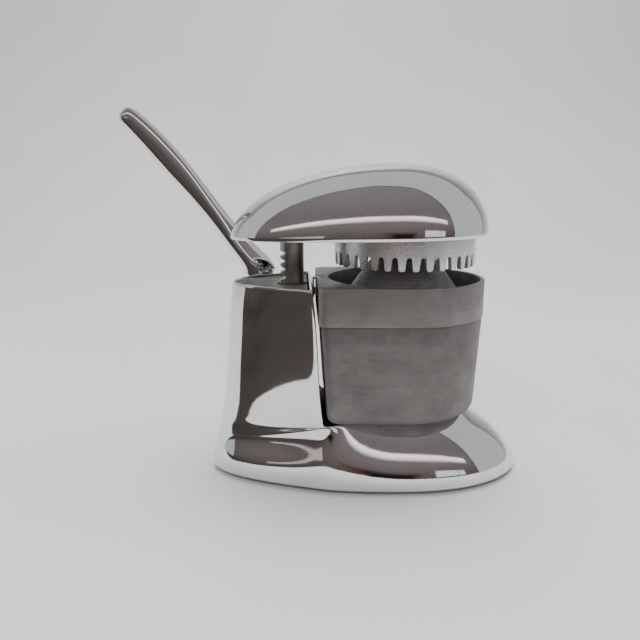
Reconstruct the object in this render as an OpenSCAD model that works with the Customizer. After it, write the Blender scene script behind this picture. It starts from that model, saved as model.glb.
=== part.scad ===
// Lever-operated citrus press. A chrome stand carries a rack post that a side lever winds up and
// down through a pinion. The post's head presses a fingered crown over a strainer cone, which sits
// in a two-part aluminium pot. Millimetres, +Z up, +X to the front of the press. The modules are
// written about the press axis, and place() moves them to the middle of the whole object's box.

/* [Stand] */
// Height of the column's top lip
column_top = 128; // [126:0.5:130]
// Height of the platform that the pot stands on
platform_z = 43; // [42:0.5:44]
// Wall of the stand's casting
stand_wall = 3; // [2.5:0.1:3.2]
// Radius of each rubber foot
foot_r = 6.2; // [5:0.1:6.5]

/* [Rack and pinion] */
// Radius of the rack post
post_r = 7.6; // [7.2:0.1:7.8]
// Teeth on the pinion
pinion_teeth = 19; // [19:1:19]
// Module of the teeth, the pitch diameter for each tooth
gear_module = 1.5875; // [1.5875]
// Radius of the pinion's axle
axle_r = 5; // [4.5:0.1:5.5]
// Play between each shaft and its bush, at the radius
running_play = 0.05; // [0.02:0.01:0.09]

/* [Lever] */
// Radius of the lever's hub
lever_hub_r = 14; // [13:0.5:15]
// Thickness of the lever across its flat
lever_thick = 13; // [11:0.5:14]

/* [Head] */
// Height of the head's lower edge, in the middle of the stroke
head_z = 155; // [154:0.5:156]
// Height of the head's dome above its lower edge
head_rise = 46.3; // [44:0.1:48]
// Wall of the head's casting
head_wall = 2.6; // [2.2:0.1:3]

/* [Crown] */
// Outer radius of the crown
crown_r = 44.8; // [44:0.1:45]
// Wall of the crown
crown_wall = 3; // [2.5:0.1:3.2]
// Fingers round the crown's edge
finger_count = 34; // [30:1:36]

/* [Pot] */
// Outer radius of the pot's strainer ring
ring_r = 51.4; // [51:0.1:52]
// Radius of the round opening in the strainer ring
opening_r = 48.75; // [48:0.05:49]
// Height of the pot's rim
rim_z = 130; // [129.5:0.1:130.5]
// Height of the seam between the strainer ring and the juice cup
seam_z = 107; // [106:0.5:108]
// Half angle of the strainer cone, in degrees
cone_half_angle = 36.2; // [35:0.1:37]
// Slots that drain the strainer
drain_slots = 24; // [12:1:28]

/* [Hidden] */
$fn = 96;

// The middle of the whole object's box, seen from the press axis
frame_x = -55.9;
frame_y = 5.3;

chrome = "silver";
dull_aluminium = "dimgray";
bright_aluminium = "darkgray";
steel = "slategray";
bronze = "peru";
black_rubber = "black";

// Small overlap that joins shapes and clears cuts
eps = 0.01;
// How far a cut runs past a face
past = 5;

// Column and foot
cover_t = 3;
recess_depth = 2;
ledge_drop = recess_depth + cover_t;
ledge_z = column_top - ledge_drop;
cover_inset = 3.1;
cover_gap = 0.05;
cover_screw_r = 1.5;
cover_screw_places = [[-97, -15], [-66.5, 31.5]];
cover_boss_h = 9.5;
foot_edge_z = 2.5;
platform_half_w = 26.5;
rear_dip = 15;
corner_x = -53;
rear_steps = 9;
front_steps = 15;

// Rack: the gap that faces the pinion is the one at tooth_gap_engaged
rack_pitch = PI * gear_module;
pitch_r = gear_module * pinion_teeth / 2;
tip_r = pitch_r + gear_module;
root_depth = 1.25 * gear_module;
pressure_angle = 20;
backlash = 0.06;
post_x = -72.1;
rack_line_x = post_x - post_r + gear_module;
pivot_x = rack_line_x - pitch_r;
pivot_z = 105.4;
rack_gaps = 15;
tooth_gap_engaged = 8;
post_bottom = 36;
post_top = 182;

// Guides and axle, with their places along Y
bush_wall = 1.2;
bush_flange_r = 9.4;
bush_relief = 0.2;
guide_bush_r = post_r + bush_wall;
upper_bush_z = 118.5;
lower_guide_z = [60, 74];
axle_bush_r = 7;
near_bush_y = [-17.5, -10.2];
far_bush_y = [10.2, 33];
axle_y = [-17.2, 46.7];
pinion_half_face = 5;
pinion_hub_half = 9.8;
pinion_hub_r = 9;
pin_y = 7.4;
pin_r = 1.5;
washer_t = 1.2;
lever_hub_y = [far_bush_y[1] + washer_t, 46.7];
lever_screw_r = 3;
key_w = 3;
key_depth = 1.5;
key_y = 35.5;
key_l = 11;

// Head
head_front = 52.9;
head_rear = -110.8;
head_peak_x = -8;
head_half_w = 49.3;
head_boss_bottom = 160;
post_boss_r = 12;
set_screw_z = 172;
set_screw_r = 2.5;
crown_boss_r = 11;
crown_top = 181.5;
finger_tip_z = 138.6;
slot_top_z = 145;

// Pot
ring_rear_x = -56.4;
ring_half_w = 49;
cup_floor_t = 2.5;
cup_bottom_z = 45;
cup_pad_r = 25;
cone_ref = [126.6, 31.9];
cone_rim_z = 110;
cone_rim_t = 2.5;
cone_rim_r = opening_r - 0.3;
ledge_r = 45.5;
pot_wall = 2.5;
spigot_inset = 4.6;
pocket_inset = 6;

// Tab over the pot's rim, on the column's front wall
tab_x = -59.1;
tab_t = 1.2;
tab_half_w = 3;
tab_drop = 12;
tab_play = 0.1;
tab_z = rim_z - 1.2;
tab_screw_z = tab_z - 8;
tab_screw_r = 1.5;

// Feet: the front pair and the rear pair
foot_places = [[19, 36], [19, -36], [-100, 17.6], [-100, -17.6]];
foot_h = 3.5;
foot_screw_r = 1.7;
foot_screw_hole = 14;
front_boss_h = 22;
rear_boss_h = 14;

// ---- Shared geometry ----

module place() {
    translate([-frame_x, -frame_y, 0]) children();
}

function bezier(p, t) =
    pow(1 - t, 3) * p[0] + 3 * pow(1 - t, 2) * t * p[1] + 3 * (1 - t) * t * t * p[2] + pow(t, 3) * p[3];

// A closed outline from its near half, which runs from the rear tip to the front tip
function mirrored(half) = concat(
    [for (p = half) [p[0], -p[1], p[2]]],
    [for (i = [len(half) - 2 : -1 : 1]) half[i]]
);

function middle(ring) = [for (p = ring) 1] * ring / len(ring);

// A skin through rings of equally many points. A loop joins the last ring to the first.
module skin(rings, loop = false) {
    n = len(rings[0]);
    m = len(rings);
    spans = loop ? m : m - 1;
    sides = [for (i = [0 : spans - 1], j = [0 : n - 1])
        let (a = i * n + j, b = i * n + (j + 1) % n,
            c = ((i + 1) % m) * n + (j + 1) % n, d = ((i + 1) % m) * n + j)
        each [[a, d, c], [a, c, b]]];
    caps = loop ? [] : [for (j = [0 : n - 1])
        let (k = (j + 1) % n, last = (m - 1) * n)
        each [[m * n, j, k], [m * n + 1, last + k, last + j]]];
    middles = loop ? [] : [middle(rings[0]), middle(rings[m - 1])];
    polyhedron(points = concat([for (r = rings) each r], middles), faces = concat(sides, caps));
}

module tube(r_out, r_in, h) {
    difference() {
        cylinder(r = r_out, h = h);
        translate([0, 0, -past]) cylinder(r = r_in, h = h + 2 * past);
    }
}

// A cylinder along Y between two places
module rod_y(r, y) {
    translate([0, y[0], 0]) rotate([-90, 0, 0]) cylinder(r = r, h = y[1] - y[0]);
}

module at_pivot() {
    translate([pivot_x, 0, pivot_z]) children();
}

// ---- Stand ----

// The side of the stand's plan from its rear tip to a corner. Flare 0 is the foot's fuller line,
// and flare 1 is the column's flatter one.
function side_line(rear, x, w, flare) =
    [[rear, 0], [rear, w * (0.57 - 0.07 * flare)], [x - 23, w - 7.6 - 4.2 * flare], [x, w]];

// The side line's points. They run from height za at the rear tip to zf at the corner.
function side_points(line, za, zf) = [for (i = [0 : rear_steps])
    let (share = i / rear_steps, p = bezier(line, share))
    [p[0], p[1], zf + (za - zf) * (1 - share * share)]];

// Half of the foot's plan, seen from above, with its rear tip at height za and its front at zf
function foot_half(za, zf, rear, corner_w, mid_w, front, flare = 0) =
    let (mid_x = 3,
        side = [[corner_x, corner_w], [-33, (corner_w + 2 * mid_w) / 3 + 1], [-17, mid_w], [mid_x, mid_w]],
        side_steps = 5, nose_steps = front_steps - side_steps)
    concat(
        side_points(side_line(rear, corner_x, corner_w, flare), za, zf),
        [for (i = [1 : side_steps]) let (p = bezier(side, i / side_steps)) [p[0], p[1], zf]],
        [for (i = [1 : nose_steps]) let (a = 90 * (1 - i / nose_steps))
            [mid_x + (front - mid_x) * cos(a), mid_w * sin(a), zf]]
    );

// Half of the column's plan: a rounded rear, a flaring side and a flat front wall
function column_half(za, zf, rear, face_x, face_w, flare = 1) =
    concat(
        side_points(side_line(rear, face_x, face_w, flare), za, zf),
        [for (i = [1 : front_steps]) [face_x, face_w * (1 - i / front_steps), zf]]
    );

// Height, rear, width at the column's corner, widest half width, front and flare, up the foot
foot_rows = [
    [foot_edge_z, -127.2, 44.6, 49, 78.6, 0],
    [4, -127.8, 46.2, 50.2, 79.6, 0],
    [8, -127.6, 47.2, 50.6, 79.6, 0],
    [14, -127, 47.4, 49.2, 76.4, 0.05],
    [21, -126, 46.2, 46.6, 71, 0.15],
    [29, -124.6, 44, 42.2, 63.3, 0.35],
    [35, -123.7, 42.8, 37.6, 54.8, 0.55],
    [39, -123.2, 42.5, 33.4, 48.9, 0.7]
];
// Height, rear, front face and half width of the face, up the column's outside
column_rows = [
    [64, -116.9, -55.4, 43],
    [81, -115.1, -56.2, 42.9],
    [98, -113.9, -57, 42.8],
    [115, -112.6, -58.2, 42.7]
];

// The column's plan at one of its rows, moved in from the outside
function column_in(row, inset, z) =
    column_half(z, z, row[1] + inset, row[2] - inset, row[3] - 1.15 * inset);

lip_row = [column_top, -111, -59.4, 42.5];
base_row = [platform_z, -119.4, -53, 42.6];

// Height at the rear tip of the foot's line at z. The lines sink towards the rear, the higher the more.
function rear_height(z) =
    z - rear_dip * pow(max(0, z - foot_edge_z) / (platform_z - foot_edge_z), 1.3);

function stand_outside() = concat(
    [for (r = foot_rows) mirrored(foot_half(rear_height(r[0]), r[0], r[1], r[2], r[3], r[4], r[5]))],
    [
        mirrored(foot_half(rear_height(platform_z), platform_z - 1.4, -122.9, 42.6, 29.5, 45.8, 0.82)),
        mirrored(foot_half(platform_z - 12, platform_z, -122.2, 42.5, platform_half_w, 42.6, 0.9)),
        mirrored(column_half(platform_z - 7, platform_z, -121, -53.4, 42, 0.96)),
        mirrored(column_half(platform_z + 5, platform_z + 5, -118.7, -53.6, 42.4))
    ],
    [for (r = column_rows) mirrored(column_in(r, 0, r[0]))],
    [mirrored(column_in(lip_row, 0, column_top - 1.2)), mirrored(column_in(lip_row, 0.8, column_top))]
);

function stand_inside() =
    let (w = stand_wall, under = platform_z - stand_wall)
    concat(
        [
            mirrored(column_in(lip_row, 2.2, column_top)),
            mirrored(column_in(lip_row, 2.8, ledge_z)),
            mirrored(column_in(lip_row, 5.2, ledge_z)),
            mirrored(column_in(lip_row, 5.2, ledge_z - 3)),
            mirrored(column_in(column_rows[3], w, 115))
        ],
        [for (i = [2 : -1 : 0]) mirrored(column_in(column_rows[i], w, column_rows[i][0]))],
        [
            mirrored(column_half(platform_z - 7, under, -121 + w, -53.4 - w, 37.2, 0.96)),
            mirrored(foot_half(rear_height(platform_z) - 2.5, under, -122.9 + w, 39.6,
                platform_half_w - 1, 39.6, 0.85))
        ],
        [for (i = [7 : -1 : 2]) let (r = foot_rows[i], z = r[0] - 2.5)
            mirrored(foot_half(rear_height(r[0]) - 2.5, z, r[1] + w, r[2] - w, r[3] - w,
                r[4] - w - 0.6, r[5]))],
        [let (r = foot_rows[0], z = r[0]) mirrored(foot_half(z, z, r[1] + w, r[2] - w, r[3] - w, r[4] - w))]
    );

// The middle of the column's wall, which trims the bosses inside it
module column_core() {
    mid = stand_wall / 2;
    skin(concat(
        [for (r = [base_row, column_rows[0], column_rows[2], column_rows[3]])
            mirrored(column_in(r, mid, r[0]))],
        [mirrored(column_in(lip_row, mid, ledge_z - cover_gap))]
    ));
}

module base_casting() {
    color(chrome) place() difference() {
        union() {
            skin(concat(stand_outside(), stand_inside()), loop = true);
            intersection() {
                column_core();
                union() {
                    at_pivot() rod_y(9.5, [-60, near_bush_y[1]]);
                    at_pivot() rod_y(11, [far_bush_y[0], 60]);
                    translate([post_x, 0, lower_guide_z[0]])
                        cylinder(r = 12.5, h = lower_guide_z[1] - lower_guide_z[0]);
                    translate([post_x, -10, lower_guide_z[0]])
                        cube([30, 20, lower_guide_z[1] - lower_guide_z[0]]);
                    for (p = cover_screw_places) translate([p[0], p[1], ledge_z - cover_boss_h])
                        cylinder(r = 4.5, h = cover_boss_h - cover_gap);
                }
            }
            at_pivot() rod_y(11, [16, far_bush_y[1]]);
            for (p = foot_places) translate([p[0], p[1], foot_h])
                cylinder(r = foot_r + 0.6, h = p[0] > 0 ? front_boss_h : rear_boss_h);
        }
        // Bores for the axle's bushes, and room for the pinion against the rear wall
        at_pivot() rod_y(axle_bush_r, near_bush_y);
        at_pivot() rod_y(axle_bush_r, far_bush_y + [-past, past]);
        at_pivot() rod_y(tip_r + 0.9, [-pinion_half_face - 1.5, pinion_half_face + 1.5]);
        // Lower guide
        translate([post_x, 0, lower_guide_z[0] - past])
            cylinder(r = guide_bush_r, h = lower_guide_z[1] - lower_guide_z[0] + 2 * past);
        // Screw holes of the feet, and seats for their rubber
        for (p = foot_places) translate([p[0], p[1], 0]) {
            cylinder(r = foot_screw_r, h = foot_screw_hole);
            translate([0, 0, -past]) cylinder(r = foot_r + 0.6, h = foot_h + past);
        }
        // Room for the upper guide in the ledge
        translate([post_x, 0, upper_bush_z - 1]) cylinder(r = guide_bush_r + bush_relief, h = 30);
        // Seat and screw hole of the pot's tab
        translate([tab_x, -tab_half_w - tab_play, tab_z - tab_drop - tab_play])
            cube([10, 2 * (tab_half_w + tab_play), 20]);
        tab_screw_hole();
        // Tapped holes of the cover's screws
        for (p = cover_screw_places) translate([p[0], p[1], ledge_z - 9]) cylinder(r = cover_screw_r, h = 10);
    }
}

module column_cover() {
    color(dull_aluminium) place() difference() {
        translate([0, 0, ledge_z]) linear_extrude(cover_t)
            polygon([for (p = mirrored(column_in(lip_row, cover_inset, 0))) [p[0], p[1]]]);
        translate([post_x, 0, upper_bush_z - past]) cylinder(r = guide_bush_r, h = 30);
        for (p = cover_screw_places) translate([p[0], p[1], ledge_z - past]) {
            cylinder(r = cover_screw_r + 0.2, h = 20);
            translate([0, 0, past + cover_t - 1.6]) cylinder(r1 = cover_screw_r, r2 = 3.1, h = 1.6);
        }
    }
}

module cover_screws() {
    color(steel) place() for (p = cover_screw_places) translate([p[0], p[1], ledge_z]) difference() {
        union() {
            translate([0, 0, -8]) cylinder(r = cover_screw_r, h = 8 + cover_t - 0.1);
            translate([0, 0, cover_t - 1.5]) cylinder(r1 = cover_screw_r, r2 = 2.9, h = 1.4);
        }
        translate([-4, -0.35, cover_t - 0.8]) cube([8, 0.7, 2]);
    }
}

module upper_guide_bush() {
    color(bronze) place() translate([post_x, 0, 0]) difference() {
        union() {
            translate([0, 0, upper_bush_z]) cylinder(r = guide_bush_r, h = ledge_z + cover_t - upper_bush_z);
            translate([0, 0, ledge_z + cover_t]) cylinder(r = bush_flange_r, h = 1);
        }
        translate([0, 0, upper_bush_z - past]) cylinder(r = post_r + running_play, h = 30);
    }
}

module lower_guide_bush() {
    color(bronze) place() translate([post_x, 0, lower_guide_z[0]])
        tube(guide_bush_r, post_r + running_play, lower_guide_z[1] - lower_guide_z[0]);
}

module near_axle_bush() {
    color(bronze) place() at_pivot() difference() {
        rod_y(axle_bush_r, near_bush_y);
        rod_y(axle_r + running_play, near_bush_y + [-past, past]);
    }
}

module far_axle_bush() {
    color(bronze) place() at_pivot() difference() {
        rod_y(axle_bush_r, far_bush_y);
        rod_y(axle_r + running_play, far_bush_y + [-past, past]);
    }
}

module rubber_feet() {
    color(black_rubber) place() for (p = foot_places) translate([p[0], p[1], 0]) difference() {
        union() {
            cylinder(r1 = foot_r - 0.5, r2 = foot_r, h = 1.2);
            translate([0, 0, 1.2]) cylinder(r = foot_r, h = foot_h - 1.2);
        }
        translate([0, 0, -past]) cylinder(r = 1.7, h = 20);
        translate([0, 0, -past]) cylinder(r = 3.4, h = past + 1.6);
    }
}

module foot_screws() {
    color(steel) place() for (p = foot_places) translate([p[0], p[1], 0]) difference() {
        union() {
            translate([0, 0, 0.6]) cylinder(r = 1.7, h = 13);
            translate([0, 0, 0.5]) cylinder(r = 3.1, h = 1.1);
        }
        translate([-4, -0.4, 0]) cube([8, 0.8, 1]);
    }
}

module tab_screw_hole() {
    translate([post_x, 0, tab_screw_z]) rotate([0, 90, 0]) cylinder(r = tab_screw_r, h = 20);
}

// A steel angle on the column's front wall, whose lip holds the rear of the pot's rim
module pot_tab() {
    color(steel) place() difference() {
        union() {
            translate([tab_x, -tab_half_w, tab_z - tab_drop]) cube([tab_t, 2 * tab_half_w, tab_drop + 1]);
            translate([tab_x, -tab_half_w, tab_z]) cube([6.4, 2 * tab_half_w, 1]);
        }
        tab_screw_hole();
    }
}

module tab_screw() {
    shank = 4.4;
    color(steel) place() translate([tab_x + tab_t, 0, tab_screw_z]) difference() {
        union() {
            translate([-shank, 0, 0]) rotate([0, 90, 0]) cylinder(r = tab_screw_r, h = shank);
            rotate([0, 90, 0]) cylinder(r1 = 2.8, r2 = 2.2, h = 0.8);
        }
        translate([0.4, -4, -0.3]) cube([2, 8, 0.6]);
    }
}

// ---- Pot ----

// The pot's plan: a half circle in front, straight sides and a flat rear with round corners
module pot_plan(inset) {
    r = ring_r - inset;
    rear = ring_rear_x + inset;
    w = ring_half_w - inset;
    corner = 6;
    circle(r = r);
    polygon([[0, r], [rear + corner, w], [rear, w - corner],
        [rear, corner - w], [rear + corner, -w], [0, -r]]);
    for (side = [-1, 1]) translate([rear + corner, side * (w - corner)]) circle(r = corner);
}

module strainer_ring() {
    flange_t = 3;
    spigot = 3;
    color(dull_aluminium) place() difference() {
        union() {
            translate([0, 0, seam_z]) linear_extrude(rim_z - seam_z) pot_plan(0);
            translate([0, 0, seam_z - spigot]) linear_extrude(spigot + 1) pot_plan(spigot_inset);
        }
        translate([0, 0, cone_rim_z]) cylinder(r = opening_r, h = 30);
        translate([0, 0, seam_z - past]) cylinder(r = ledge_r, h = 30);
        // Hollow rear corners, under the flange and outside the round wall
        translate([0, 0, seam_z - spigot - 1]) linear_extrude(rim_z - flange_t - seam_z + spigot + 1)
            difference() {
                pot_plan(pocket_inset);
                circle(r = opening_r + 1.2);
            }
        // Notch for the column's tab
        translate([-60, -tab_half_w - 0.4, tab_z - 0.3]) cube([7.7, 2 * tab_half_w + 0.8, 3]);
    }
}

module strainer_cone() {
    slope = tan(cone_half_angle);
    top_r = 14;
    base_z = cone_rim_z + cone_rim_t;
    base_r = cone_ref[1] + (cone_ref[0] - base_z) * slope;
    top_z = cone_ref[0] + (cone_ref[1] - top_r) / slope;
    tip_rise = 4;
    shell = 2.4;
    color(dull_aluminium) place() difference() {
        rotate_extrude() difference() {
            polygon([[0, cone_rim_z], [cone_rim_r, cone_rim_z], [cone_rim_r, base_z], [base_r, base_z],
                [top_r, top_z], [0.6 * top_r, top_z + 0.7 * tip_rise], [0, top_z + tip_rise]]);
            polygon([[-1, cone_rim_z - 1], [base_r - shell - 1 * slope, cone_rim_z - 1],
                [top_r - 0.8 * shell, top_z - shell], [-1, top_z - 0.2]]);
        }
        for (i = [0 : drain_slots - 1]) rotate([0, 0, (i + 0.5) * 360 / drain_slots])
            translate([38, -1.4, cone_rim_z - 1]) cube([6.8, 2.8, 9]);
    }
}

// Half of the juice cup's plan at a height, moved in from its outside
function cup_ring(z, inset) =
    let (grow = (z - cup_bottom_z) / (seam_z - cup_bottom_z),
        r = 47.8 + 3.2 * grow - inset,
        rear = -51 - 4 * grow + inset,
        w = 46 + 2.8 * grow - inset,
        corner = 6, rear_flat = 3, turn = 5, side = 4, nose = 16)
    mirrored(concat(
        [for (i = [0 : rear_flat - 1]) [rear, (w - corner) * i / rear_flat, z]],
        [for (i = [0 : turn]) let (a = 180 - 90 * i / turn)
            [rear + corner + corner * cos(a), w - corner + corner * sin(a), z]],
        [for (i = [1 : side]) let (x0 = rear + corner) [x0 - x0 * i / side, w + (r - w) * i / side, z]],
        [for (i = [1 : nose]) let (a = 90 - 90 * i / nose) [r * cos(a), r * sin(a), z]]
    ));

module juice_cup() {
    floor_z = cup_bottom_z + cup_floor_t;
    outside = [[0, 5.2], [0.9, 2.6], [2.6, 0.9], [5.2, 0]];
    inside = [[0, 6.5], [1.4, 4.2], [4.4, pot_wall]];
    color(dull_aluminium) place() {
        skin(concat(
            [for (p = outside) cup_ring(cup_bottom_z + p[0], p[1])],
            [cup_ring(seam_z, 0), cup_ring(seam_z, pot_wall)],
            [for (i = [2 : -1 : 0]) cup_ring(floor_z + inside[i][0], inside[i][1])]
        ));
        // Raised pad that the cup stands on
        translate([0, 0, platform_z]) linear_extrude(cup_bottom_z - platform_z + 0.5) difference() {
            circle(r = cup_pad_r);
            circle(r = cup_pad_r - 4);
        }
    }
}

// ---- Rack, pinion and lever ----

// A point on a gear tooth's involute flank, by how far the string has unwound, in degrees
function involute(base_r, t) =
    let (s = base_r * t * PI / 180) [base_r * cos(t) + s * sin(t), base_r * sin(t) - s * cos(t)];

function turned(p, a) = [p[0] * cos(a) - p[1] * sin(a), p[0] * sin(a) + p[1] * cos(a)];

module gear_outline() {
    base_r = pitch_r * cos(pressure_angle);
    root_r = pitch_r - root_depth;
    // String angle at the tip, and half of the tooth's angle where the flank leaves the base circle
    tip_t = sqrt(pow(tip_r / base_r, 2) - 1) * 180 / PI;
    pitch_t = tan(pressure_angle) * 180 / PI;
    half = 90 / pinion_teeth + pitch_t - pressure_angle - backlash / pitch_r * 90 / PI;
    steps = 6;
    flank = [for (i = [0 : steps]) turned(involute(base_r, tip_t * i / steps), -half)];
    one = concat([turned([root_r, 0], -half)], flank,
        [for (i = [steps : -1 : 0]) [flank[i][0], -flank[i][1]]], [turned([root_r, 0], half)]);
    polygon([for (k = [0 : pinion_teeth - 1]) each [for (p = one) turned(p, k * 360 / pinion_teeth)]]);
}

module pinion() {
    color(steel) place() at_pivot() difference() {
        union() {
            rotate([90, 0, 0]) linear_extrude(2 * pinion_half_face, center = true) gear_outline();
            rod_y(pinion_hub_r, [-pinion_hub_half, pinion_hub_half]);
        }
        rod_y(axle_r, [-20, 20]);
        translate([0, pin_y, -20]) cylinder(r = pin_r, h = 40);
    }
}

module pinion_pin() {
    color(steel) place() at_pivot() translate([0, pin_y, -8.6]) cylinder(r = pin_r, h = 17.2);
}

module axle() {
    color(steel) place() at_pivot() difference() {
        rod_y(axle_r, axle_y);
        translate([0, pin_y, -20]) cylinder(r = pin_r, h = 40);
        rod_y(lever_screw_r, [28, 60]);
        translate([-key_w / 2, key_y, axle_r - key_depth]) cube([key_w, 20, 5]);
    }
}

module spring_washer() {
    color(steel) place() at_pivot() difference() {
        rod_y(9.5, [far_bush_y[1] + 0.05, far_bush_y[1] + washer_t]);
        rod_y(axle_r + 0.3, [20, 60]);
    }
}

// One ring of the arm: its middle, the tilt of its plane, and its half width and half thickness
function arm_ring(c, tilt, half_w, half_t) = [for (j = [0 : 19])
    let (a = 360 * j / 20, sx = sign(cos(a)) * pow(abs(cos(a)), 0.8),
        sy = sign(sin(a)) * pow(abs(sin(a)), 0.8))
    [c[0] + half_w * sx * cos(tilt), c[1] + half_t * sy, c[2] + half_w * sx * sin(tilt)]];

// The arm's line in side view, from the sole beside the column's lip to the tip
arm_line = [[-104, 133.5], [-138, 183], [-165, 216], [-184.8, 233.9]];
arm_steps = 18;
arm_y = [39.2, 55.5];

function arm_widths(t) = t < 0.55
    ? 7 + 2.4 * pow(1 - t / 0.3, 2) * (t < 0.3 ? 1 : 0) + 1.6 * pow(t / 0.55, 2)
    : 8.6 - 1.4 * pow((t - 0.55) / 0.45, 2);

module lever() {
    half_t = lever_thick / 2;
    arm = [for (i = [0 : arm_steps])
        let (t = i / arm_steps, p = bezier(arm_line, t), q = bezier(arm_line, min(1, t + 0.02)),
            o = bezier(arm_line, min(0.98, t)), dir = atan2(q[1] - o[1], q[0] - o[0]),
            swing = min(1, t / 0.2), y = arm_y[0] + 6.6 + (arm_y[1] - arm_y[0] - 6.6) * swing * (2 - swing))
        arm_ring([p[0], y, p[1]], dir - 90 - 14 * max(0, 1 - t / 0.2), arm_widths(t), half_t)];
    tip = bezier(arm_line, 1);
    tip_dir = 137.5;
    color(chrome) place() difference() {
        union() {
            skin(concat(
                [
                    arm_ring([pivot_x, 40.4, pivot_z - 4], 0, 9.5, 5.4),
                    arm_ring([-94.4, 40.4, 113], 4, 9.6, 5.4),
                    arm_ring([-95.6, 41.4, 120], 10, 9.2, 5.2),
                    arm_ring([-95.4, 44.6, 125.2], 12, 9.6, 5.6),
                    arm_ring([-95.7, 45.4, 127], 12, 11.4, 6.3),
                    arm_ring([-95.8, 45.5, 127.6], 12.5, 11.5, 6.4)
                ],
                arm,
                [for (s = [[2.6, 6.4, 0.93], [4.6, 5, 0.78], [6, 3, 0.5]])
                    arm_ring([tip[0] + s[0] * cos(tip_dir), arm_y[1], tip[1] + s[0] * sin(tip_dir)],
                        tip_dir - 90, s[1], half_t * s[2])]
            ));
            at_pivot() rod_y(lever_hub_r, lever_hub_y);
        }
        at_pivot() rod_y(axle_r, [0, 60]);
        at_pivot() translate([-key_w / 2, key_y, 0]) cube([key_w, 20, axle_r + key_depth]);
        at_pivot() rod_y(20, [0, lever_hub_y[0]]);
        at_pivot() rod_y(8.5, [lever_hub_y[1], 70]);
    }
}

module lever_key() {
    color(steel) place() at_pivot() translate([-key_w / 2, key_y, axle_r - key_depth])
        cube([key_w, key_l, 2 * key_depth]);
}

module lever_washer() {
    color(steel) place() at_pivot() difference() {
        rod_y(8, [lever_hub_y[1], lever_hub_y[1] + washer_t]);
        rod_y(lever_screw_r, [0, 60]);
    }
}

module lever_screw() {
    head_y = lever_hub_y[1] + washer_t;
    color(steel) place() at_pivot() difference() {
        union() {
            rod_y(lever_screw_r, [30, head_y]);
            rod_y(5, [head_y, head_y + 4.2]);
        }
        translate([0, head_y + 1.6, 0]) rotate([-90, 0, 0]) cylinder(r = 2.6, h = 6, $fn = 6);
    }
}

module rack_post() {
    half_at = function (x) rack_pitch / 4 + backlash + (rack_line_x - x) * tan(pressure_angle);
    root_x = rack_line_x + root_depth;
    mouth_x = rack_line_x - 3;
    color(steel) place() difference() {
        translate([post_x, 0, post_bottom]) cylinder(r = post_r, h = post_top - post_bottom);
        for (k = [0 : rack_gaps - 1])
            translate([0, 0, pivot_z + (tooth_gap_engaged - k) * rack_pitch]) rotate([90, 0, 0])
                linear_extrude(30, center = true) polygon([
                    [mouth_x, -half_at(mouth_x)], [root_x, -half_at(root_x)],
                    [root_x, half_at(root_x)], [mouth_x, half_at(mouth_x)]
                ]);
        // Dimple that the set screw bites into
        translate([post_x - post_r - 1, 0, set_screw_z])
            rotate([0, 90, 0]) cylinder(r = set_screw_r, h = 2.2);
    }
}

// ---- Head and crown ----

// Half of the head's plan at a share of its rise, moved in from its outside
function head_half(u, inset) =
    let (front_k = pow(max(0, 1 - u * u), 1 / 2.5), rear_k = pow(max(0, 1 - pow(u, 1.8)), 1 / 2),
        w = head_half_w * pow(max(0, 1 - u * u), 1 / 2.3) - inset,
        rear = head_peak_x + (head_rear - head_peak_x) * rear_k + inset,
        front = head_peak_x + (head_front - head_peak_x) * front_k - inset,
        z = head_z + u * (head_rise - inset),
        mid = head_peak_x + 4,
        back = [[rear, 0], [rear, 0.81 * w], [mid + 0.32 * (rear - mid), w], [mid, w]],
        back_steps = 14, nose_steps = 12)
    concat(
        [for (i = [0 : back_steps]) let (p = bezier(back, i / back_steps)) [p[0], p[1], z]],
        [for (i = [1 : nose_steps]) let (a = 90 - 90 * i / nose_steps)
            [mid + (front - mid) * cos(a), w * sin(a), z]]
    );

head_levels = [0, 0.12, 0.25, 0.38, 0.5, 0.61, 0.71, 0.8, 0.87, 0.925, 0.965, 0.99];

module head_solid(inset) {
    skin([for (u = head_levels) mirrored(head_half(u, inset))]);
}

module press_head() {
    color(chrome) place() difference() {
        union() {
            skin(concat(
                [for (i = [len(head_levels) - 1 : -1 : 0]) mirrored(head_half(head_levels[i], head_wall))],
                [for (u = head_levels) mirrored(head_half(u, 0))]
            ));
            intersection() {
                head_solid(head_wall / 2);
                union() {
                    translate([post_x, 0, head_boss_bottom]) cylinder(r = post_boss_r, h = 60);
                    translate([0, 0, crown_top]) cylinder(r = crown_boss_r, h = 60);
                }
            }
        }
        translate([post_x, 0, head_z - past]) cylinder(r = post_r, h = post_top - head_z + past);
        translate([0, 0, crown_top - 1]) cylinder(r = 3, h = 12);
        // Tapped hole of the set screw, from the rear of the boss
        translate([post_x - post_boss_r - 2, 0, set_screw_z]) rotate([0, 90, 0])
            cylinder(r = set_screw_r, h = post_boss_r);
    }
}

module post_set_screw() {
    color(steel) place() translate([post_x - post_boss_r, 0, set_screw_z]) rotate([0, 90, 0]) difference() {
        cylinder(r = set_screw_r, h = post_boss_r - post_r + 1);
        translate([0, 0, -1]) cylinder(r = 1.45, h = 3, $fn = 6);
    }
}

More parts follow.
